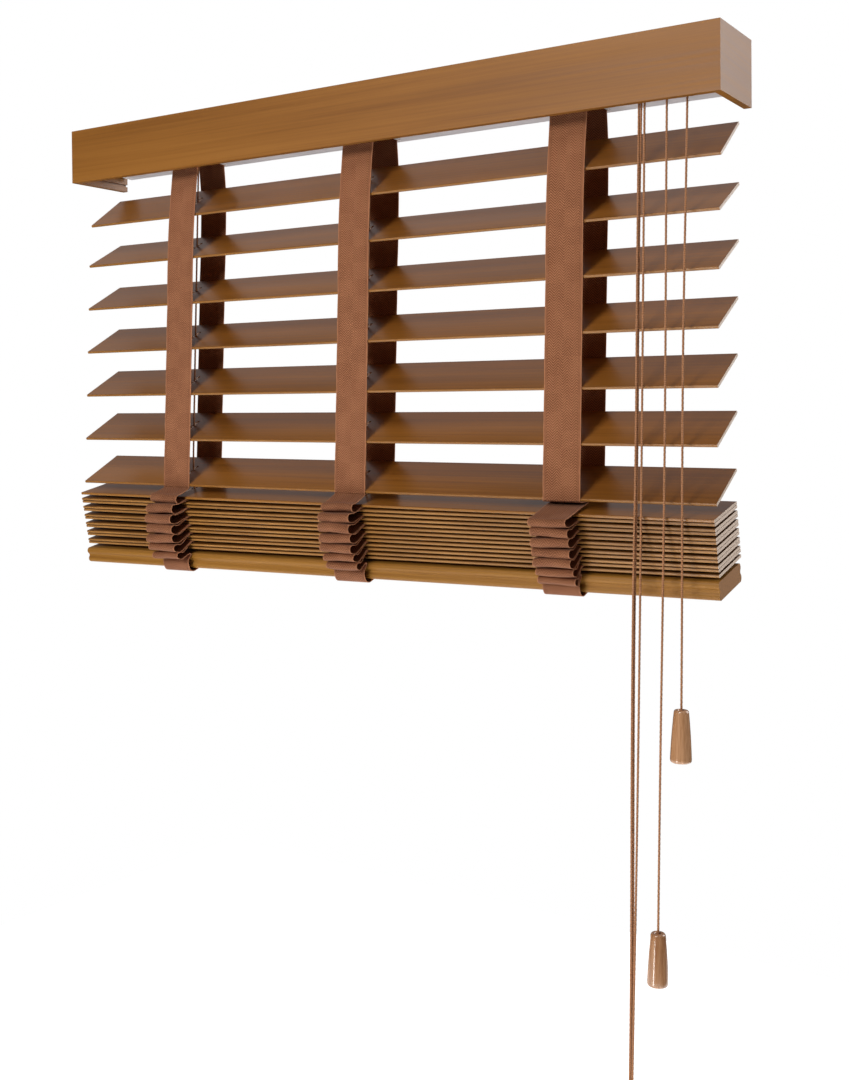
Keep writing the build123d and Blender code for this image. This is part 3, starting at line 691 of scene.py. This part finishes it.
# how far each tilt cord sways from the plumb line, in x and y, from its pulley down to its tassel
TILT_SWAY = {
    "left": [
        (0, 0), (0.0002, 0), (0.0009, 0.0003), (0.0011, 0.0004),
        (0.0007, 0.0002), (0.0002, 0), (0, 0),
    ],
    "right": [
        (0, 0), (-0.0002, 0), (-0.0010, -0.0003), (-0.0014, -0.0004),
        (-0.0010, -0.0002), (-0.0003, 0), (0, 0),
    ],
}
for word, sway in TILT_SWAY.items():
    lo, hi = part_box(f"tilt_cord_{word}")
    x, y = (lo.x + hi.x) / 2, (lo.y + hi.y) / 2
    end_z = lo.z - CORD_SEAT
    heights = np.linspace(hi.z, end_z, len(sway))
    route = [(x + dx, y + dy, float(z)) for (dx, dy), z in zip(sway, heights)]
    held = tassel(f"tassel_tilt_{word}", f"tilt_tassel_{word}", f"tilt_pull_{word}")
    pull_cord(f"strand_tilt_{word}", f"tilt_cord_{word}", route)

# ---- ladder tapes --------------------------------------------------------------------------------
TAPE_THICK = 0.7 * MM
FOLD_THICK = 0.6 * MM
# places across the tape in millimetres, closer together at its selvedges
HALF_ACROSS = [2.5, 5, 8, 11, 13.4, 14.4, 15.6, 16]
ACROSS = np.array([-u for u in HALF_ACROSS[::-1]] + [0] + HALF_ACROSS) * MM
ROW_STEP = 2.0 * MM
edges = {side: [slat_edge(f"slat_{n:02d}", side) for n in range(1, OPEN_SLATS + 1)] for side in (-1, 1)}
stack_edges = {side: [slat_edge(node, side) for node in STACKED] for side in (-1, 1)}
side_word = {-1: "front", 1: "rear"}
TAPE_TOP_Z = -24.5 * MM
EDGE_GAP = 0.45 * MM
TOP_STAND_OFF = 1.3 * MM
TAPE_BOW = 0.35 * MM
drum_lo, drum_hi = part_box("tape_drums")
DRUM_RADIUS = (drum_hi.z - drum_lo.z) / 2
drum_z = (drum_hi.z + drum_lo.z) / 2


def tape_course(side):
    """The tape's middle line in y and z: off the drum, then along the slat edges with a slight bow."""
    knots = [(side * (DRUM_RADIUS + 1.2 * MM), TAPE_TOP_Z)]
    for n, (y, z, _) in enumerate(edges[side]):
        # the top slats' edges swing out as the slats level, so the tape stands off from them
        knots.append((y + side * (EDGE_GAP + TOP_STAND_OFF * max(0.0, 1 - n / 2)), z))
    course = []
    for (y0, z0), (y1, z1) in zip(knots, knots[1:]):
        count = max(4, int(round((z0 - z1) / ROW_STEP)))
        for k in range(count):
            t = k / count
            bow = side * TAPE_BOW * math.sin(math.pi * t)
            course.append((y0 + (y1 - y0) * t + bow, z0 + (z1 - z0) * t))
    course.append(knots[-1])
    course.append((knots[-1][0], knots[-1][1] - 1.2 * MM))
    return course


for side in (-1, 1):
    word = side_word[side]
    course = tape_course(side)
    run = np.concatenate([[0], np.cumsum([math.dist(a, b) for a, b in zip(course, course[1:])])])
    for station, x in STATIONS.items():
        rows = [[(x + u, y, z) for u in ACROSS] for y, z in course]
        name = f"{word}_tape_{station}"
        tape = ribbon(name, rows, ACROSS, run, TAPE_THICK, "ladder_tape", f"{word}_tape")
        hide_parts(f"{word}_tapes")
        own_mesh(tape)

# tape wound on the drums
# over the drum from below its rear to below its front, in steps of 6 degrees
wound = np.radians(np.arange(-62, 243, 6))
wound_radius = DRUM_RADIUS + 0.5 * MM
wound_run = wound_radius * wound
wound_yz = [(wound_radius * math.cos(a), drum_z + wound_radius * math.sin(a)) for a in wound]
for station, x in STATIONS.items():
    rows = [[(x + u, y, z) for u in ACROSS] for y, z in wound_yz]
    made = ribbon(f"wound_tape_{station}", rows, ACROSS, wound_run, TAPE_THICK, "ladder_tape", "tilt_shaft")
    flat = (TAPE_WIDTH, round(float(wound_run[-1] - wound_run[0]), 4))

# ---- folds beside the stack ----------------------------------------------------------------------
# how far each bulge reaches, and its height, in millimetres, from the top one down
BULGES = {
    (-1, "left"): [
        (-40.2, -361.8), (-45.2, -371.3), (-46.9, -380.6), (-45.4, -390.0),
        (-44.5, -399.0), (-41.0, -407.4), (-36.3, -415.0),
    ],
    (-1, "middle"): [
        (-41.5, -362.8), (-46.2, -371.2), (-46.4, -380.0), (-44.0, -389.0),
        (-42.5, -397.4), (-38.0, -405.4), (-33.5, -412.6),
    ],
    (-1, "right"): [
        (-47.6, -366.6), (-44.6, -374.2), (-42.7, -382.2), (-40.2, -390.2),
        (-38.6, -398.0), (-33.5, -405.6), (-29.5, -412.0),
    ],
    (1, "left"): [
        (38.0, -350.0), (42.0, -359.3), (44.3, -368.3), (45.2, -377.0),
        (45.0, -385.3), (44.0, -393.0), (42.0, -400.5),
    ],
    (1, "middle"): [
        (39.5, -349.6), (43.0, -358.9), (44.9, -367.6), (45.0, -376.0),
        (44.5, -384.2), (43.0, -391.8), (41.0, -399.0),
    ],
    (1, "right"): [
        (40.5, -349.8), (44.2, -358.6), (45.3, -367.0), (44.5, -375.4),
        (43.6, -383.4), (42.5, -390.8), (40.8, -397.6),
    ],
}
# which gap of the stack each inward fold lies in, counted from the top stacked slat
TUCKS = {"left": (0, 2, 4, 6, 8, 10), "middle": (0, 2, 4, 6, 8, 10), "right": (1, 3, 5, 7, 9, 11)}
TUCK_DEPTH = 13 * MM
TUCK_MOUTH = 3.0 * MM
TUCK_TURN = 0.6 * MM
TUCK_HALF_GAP = 0.42 * MM
LAST_BULGE_HEIGHT = 7.4 * MM


def groove_at(side, gap, x):
    """Between two stacked slats, at their edge: y and z at a place along the blind."""
    (y0, z0, s0), (y1, z1, s1) = stack_edges[side][gap], stack_edges[side][gap + 1]
    outer = max(side * y0, side * y1)
    return side * outer, (z0 + s0 * x + z1 + s1 * x) / 2


def fold_line(side, station, x, x0):
    """One line of the folded tape in y and z, from the top bulge to its end under the rail."""
    tips = [(y * MM, z * MM) for y, z in BULGES[side, station]]
    grooves = [groove_at(side, gap, x) for gap in TUCKS[station]]
    middle = [groove_at(side, gap, x0) for gap in TUCKS[station]]
    for way, place in ((grooves, x), (middle, x0)):
        way.append(rail_point(side, 1.2 * MM, RAIL_HEIGHT + 0.4 * MM, place))
    u = (x - x0) / (TAPE_WIDTH / 2)
    line = []

    def tucked(groove, depth, rise):
        """A point of the fold that lies between two slats, along their lean."""
        y, z = groove
        y -= side * depth * math.cos(STACK_LEAN)
        z -= side * depth * math.sin(STACK_LEAN)
        line.append((y, z + rise))

    for k, ((tip_y, tip_z), groove, (_, mid_z)) in enumerate(zip(tips, grooves, middle)):
        in_y, in_z = groove
        phase = 1.7 * k + 2.3 * side + x0 * 9
        tip_y += side * (0.55 * math.sin(2.1 * u + phase) + 0.25 * math.sin(5.3 * u - phase)) * MM
        tip_z += (in_z - mid_z) + 0.45 * math.sin(1.9 * u + 2.2 * phase) * MM
        above = tips[k - 1][1] - tips[k][1] if k else tips[0][1] - tips[1][1]
        below = tips[k][1] - tips[k + 1][1] if k + 1 < len(tips) else LAST_BULGE_HEIGHT
        up, down = above / 2 - TUCK_HALF_GAP, below / 2 - TUCK_HALF_GAP
        if k:
            from_y, from_z = grooves[k - 1]
            line.append((from_y + side * 1.4 * MM, from_z - 0.55 * MM))
            line.append((0.45 * from_y + 0.55 * tip_y, tip_z + 0.86 * up + 0.5 * MM))
        line.append((tip_y - side * 5.0 * MM, tip_z + 0.98 * up))
        line.append((tip_y - side * 1.5 * MM, tip_z + 0.72 * up))
        line.append((tip_y, tip_z))
        line.append((tip_y - side * 1.3 * MM, tip_z - 0.7 * down))
        line.append((tip_y - side * 4.6 * MM, tip_z - 0.98 * down))
        line.append((0.45 * in_y + 0.55 * tip_y, tip_z - 0.86 * down - 0.1 * MM))
        line.append((in_y + side * 1.4 * MM, in_z + 0.55 * MM))
        if k + 1 < len(tips):
            tucked(groove, TUCK_MOUTH, TUCK_HALF_GAP)
            tucked(groove, TUCK_DEPTH - TUCK_TURN, 0.40 * MM)
            tucked(groove, TUCK_DEPTH, 0)
            tucked(groove, TUCK_DEPTH - TUCK_TURN, -0.40 * MM)
            tucked(groove, TUCK_MOUTH, -TUCK_HALF_GAP)
    # round the rail's front or rear and in under it: out from the rail and up from its underside
    top = RAIL_HEIGHT / MM
    wrap = [(1.0, top - 0.6), (4.6, top - 3.6), (6.2, top - 7.4), (4.8, 0.6)]
    wrap += [(0.8, -2.0), (-5.0, -1.6), (-13.0, -0.55), (-17.0, -0.5)]
    return line + [rail_point(side, out * MM, up * MM, x) for out, up in wrap]


FOLD_STEPS = 5
LINK_STEPS = 6
LINK_TURN = 3.0 * MM
# the right front tape turns in under the lowest open slat: to the rear and down from the slat's edge
TURN_IN = [(2.0, 1.0), (8.0, 0.7), (13.0, 0.4), (14.2, 1.2), (13.0, 2.1), (3.0, 4.9)]
for side in (-1, 1):
    word = side_word[side]
    for station, x0 in STATIONS.items():
        columns = [smooth_line(fold_line(side, station, x0 + u, x0), FOLD_STEPS) for u in ACROSS]
        middle = columns[len(columns) // 2]
        run = np.concatenate([[0], np.cumsum(np.linalg.norm(np.diff(middle, axis=0), axis=1))])
        rows = [[(x0 + u, *columns[j][i]) for j, u in enumerate(ACROSS)] for i in range(len(middle))]
        folds = ribbon(f"{word}_folds_{station}", rows, ACROSS, run, FOLD_THICK, "shaded_folded_tape", "stack")
        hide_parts(f"{word}_tape_folds")
        flat = (TAPE_WIDTH, round(float(run[-1]), 4))

        # the last length of tape, from the lowest open slat's edge to the first bulge
        edge_y, edge_z, _ = edges[side][-1]
        start = (edge_y + side * EDGE_GAP, edge_z - 1.0 * MM)
        link_columns = []
        for column in columns:
            first, second = column[0], column[1]
            out = (first - second) / np.linalg.norm(first - second)
            before = first + out * 2.5 * MM
            line = [start, (start[0] + side * 0.6 * MM, start[1] - 2.0 * MM), tuple(before), tuple(first)]
            if side < 0 and station == "right":
                line[1:2] = [(start[0] + dy * MM, start[1] - dz * MM) for dy, dz in TURN_IN]
            if side > 0:
                line[2:2] = [(start[0] + 1.5 * MM, (start[1] + before[1]) / 2)]
            link_columns.append(smooth_line(line, LINK_STEPS))
        middle = link_columns[len(link_columns) // 2]
        run = np.concatenate([[0], np.cumsum(np.linalg.norm(np.diff(middle, axis=0), axis=1))])
        rows = [[(x0 + u, *link_columns[j][i]) for j, u in enumerate(ACROSS)] for i in range(len(middle))]
        link = ribbon(f"{word}_link_{station}", rows, ACROSS, run, FOLD_THICK, "shaded_folded_tape")
        low, high = middle[-1], middle[0]
        if side < 0:
            low = (high[0], high[1] - LINK_TURN)
        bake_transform(link)

# ---- rungs under the open slats ------------------------------------------------------------------
SLAT_THICK = 2.4 * MM
RUNG_DIAMETER = 1.2 * MM
RUNG_HALF_GAP = 8.5 * MM
RUNG_STEP = 1.2 * MM
# how far the strings reach out past the slat's edges
RUNG_END = 0.25 * MM


def joined(name, parts, finish, body):
    """Several tubes as one piece."""
    points, faces, cloth = [], [], []
    for made in parts:
        base = len(points)
        mesh = made.data
        points.extend(tuple(v.co) for v in mesh.vertices)
        faces.extend(tuple(base + i for i in p.vertices) for p in mesh.polygons)
        flat = np.zeros(len(mesh.vertices) * 3, np.float32)
        mesh.attributes["cloth"].data.foreach_get("vector", flat)
        cloth.extend(flat.reshape(-1, 3))
        bpy.data.objects.remove(made)
    return piece(name, points, faces, finish, body, cloth)


for n in range(1, OPEN_SLATS + 1):
    front_y, front_z, _ = edges[-1][n - 1]
    rear_y, rear_z, _ = edges[1][n - 1]
    front, rear = np.array([front_y, front_z]), np.array([rear_y, rear_z])
    across = (rear - front) / np.linalg.norm(rear - front)
    under = np.array([across[1], -across[0]])
    drop = SLAT_THICK / 2 + RUNG_DIAMETER / 2 + 0.1 * MM
    strings = []
    for station, x in STATIONS.items():
        for k in (-1, 1):
            line = [
                front - across * RUNG_END,
                front + under * drop * 0.8 + across * 0.4 * MM,
                front + under * drop + across * 3 * MM,
                (front + rear) / 2 + under * drop,
                rear + under * drop - across * 3 * MM,
                rear + under * drop * 0.8 - across * 0.4 * MM,
                rear + across * RUNG_END,
            ]
            flat = smooth_line(line, 6)
            way = np.insert(flat, 0, x + k * RUNG_HALF_GAP, axis=1)
            string = tube("rung", resampled(way, RUNG_STEP), RUNG_DIAMETER / 2, "ladder_tape", sides=8)
            strings.append(string)
    rungs = joined(f"rung_strings_{n:02d}", strings, "ladder_tape", f"slat_{n:02d}")
    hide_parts(f"rungs_{n:02d}")

# ---- lift cords inside the blind -----------------------------------------------------------------
run_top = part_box("lift_cord_runs")[1].z
DEPTH_IN_RAIL = 10 * MM
PAST_LOWEST_HINGE = 6 * MM
for station, x in STATIONS.items():
    seat_y, seat_z = rail_point(0, 0, RAIL_HEIGHT - DEPTH_IN_RAIL, x)
    heights = (run_top, run_top - 0.09, run_top - 0.18, run_top - 0.25, LOWEST_HINGE_Z - PAST_LOWEST_HINGE)
    route = [(x, 0.0, z) for z in heights] + [(x, seat_y, seat_z)]
    line = nurbs_line(f"inner_{station}", route)
    inner = tube(f"lift_cord_run_{station}", line, CORD_DIAMETER / 2, "pull_cord", "root", twist=TWIST)
    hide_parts("lift_cord_runs")
    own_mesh(inner)

# ---- studio --------------------------------------------------------------------------------------
FLOOR_DROP = 0.28
FLOOR_HALF_SIZE = 1.1
# the height of a ray's direction where the ceiling starts to show, and where it shows in full
CEILING_FROM, CEILING_FULL = 0.12, 0.65
bpy.context.scene.view_settings.view_transform = "Standard"


def make_floor():
    """A plain white floor, bright enough to light the blind's underside."""
    size = FLOOR_HALF_SIZE
    z = cad_box[0].z - FLOOR_DROP
    mesh = bpy.data.meshes.new("floor")
    corners = [(-size, -size, z), (size, -size, z), (size, size, z), (-size, size, z)]
    mesh.from_pydata(corners, [], [(0, 1, 2, 3)])
    floor = bpy.data.objects.new("floor", mesh)
    s = Shader("floor_white")
    s.set(Base_Color=(0.9, 0.9, 0.9, 1), Roughness=0.9, Specular_IOR_Level=0.1)
    s.set(Emission_Color=(1, 1, 1, 1), Emission_Strength=1.0)
    mesh.materials.append(s.material)
    bpy.context.scene.collection.objects.link(floor)


def make_world():
    """White behind the blind; reflections see a dim room with a lit ceiling, and dim light fills in."""
    world = bpy.data.worlds.new("studio")
    world.use_nodes = True
    tree = world.node_tree
    tree.nodes.clear()

    def background(colour, strength):
        node = tree.nodes.new("ShaderNodeBackground")
        node.inputs["Color"].default_value = (*colour, 1)
        node.inputs["Strength"].default_value = strength
        return node.outputs[0]

    def choose(ray, first, second):
        node = tree.nodes.new("ShaderNodeMixShader")
        tree.links.new(path.outputs[ray], node.inputs[0])
        tree.links.new(first, node.inputs[1])
        tree.links.new(second, node.inputs[2])
        return node.outputs[0]

    path = tree.nodes.new("ShaderNodeLightPath")
    way = tree.nodes.new("ShaderNodeSeparateXYZ")
    tree.links.new(tree.nodes.new("ShaderNodeTexCoord").outputs["Generated"], way.inputs[0])
    above = tree.nodes.new("ShaderNodeMapRange")
    above.inputs["From Min"].default_value = CEILING_FROM
    above.inputs["From Max"].default_value = CEILING_FULL
    tree.links.new(way.outputs[2], above.inputs["Value"])
    ceiling = tree.nodes.new("ShaderNodeMixShader")
    tree.links.new(above.outputs[0], ceiling.inputs[0])
    tree.links.new(background((0.9, 0.8, 0.75), 0.05), ceiling.inputs[1])
    tree.links.new(background((1.0, 0.90, 0.88), 0.55), ceiling.inputs[2])
    dim = background((1.0, 0.96, 0.95), 0.05)
    shown = choose("Is Glossy Ray", dim, ceiling.outputs[0])
    shown = choose("Is Camera Ray", shown, background((1, 1, 1), 1.0))
    out = tree.nodes.new("ShaderNodeOutputWorld")
    tree.links.new(shown, out.inputs[0])
    bpy.context.scene.world = world


def soft_light(name, place, target, size, power, colour=(1, 1, 1)):
    data = bpy.data.lights.new(name, "AREA")
    data.shape = "RECTANGLE"
    data.size, data.size_y = size
    data.energy = power
    data.color = colour
    lamp = bpy.data.objects.new(name, data)
    direction = Vector(target) - Vector(place)
    lamp.matrix_world = Matrix.Translation(place) @ direction.to_track_quat("-Z", "Y").to_matrix().to_4x4()
    bpy.context.scene.collection.objects.link(lamp)


centre = (0.0, 0.0, -0.25)
make_floor()
make_world()
soft_light("key", (-0.11, -1.75, 0.30), centre, (0.5, 0.5), 16, (1.0, 0.97, 0.93))
soft_light("rim", (1.5, 1.3, 0.35), (0.3, 0, -0.25), (1.0, 1.4), 26, (1.0, 0.98, 0.97))
soft_light("top", (0.0, -1.5, 1.3), centre, (1.0, 0.7), 10)
soft_light("strip", (-0.06, -0.85, -1.08), (0.25, -0.06, -0.77), (0.13, 0.45), 3.2)
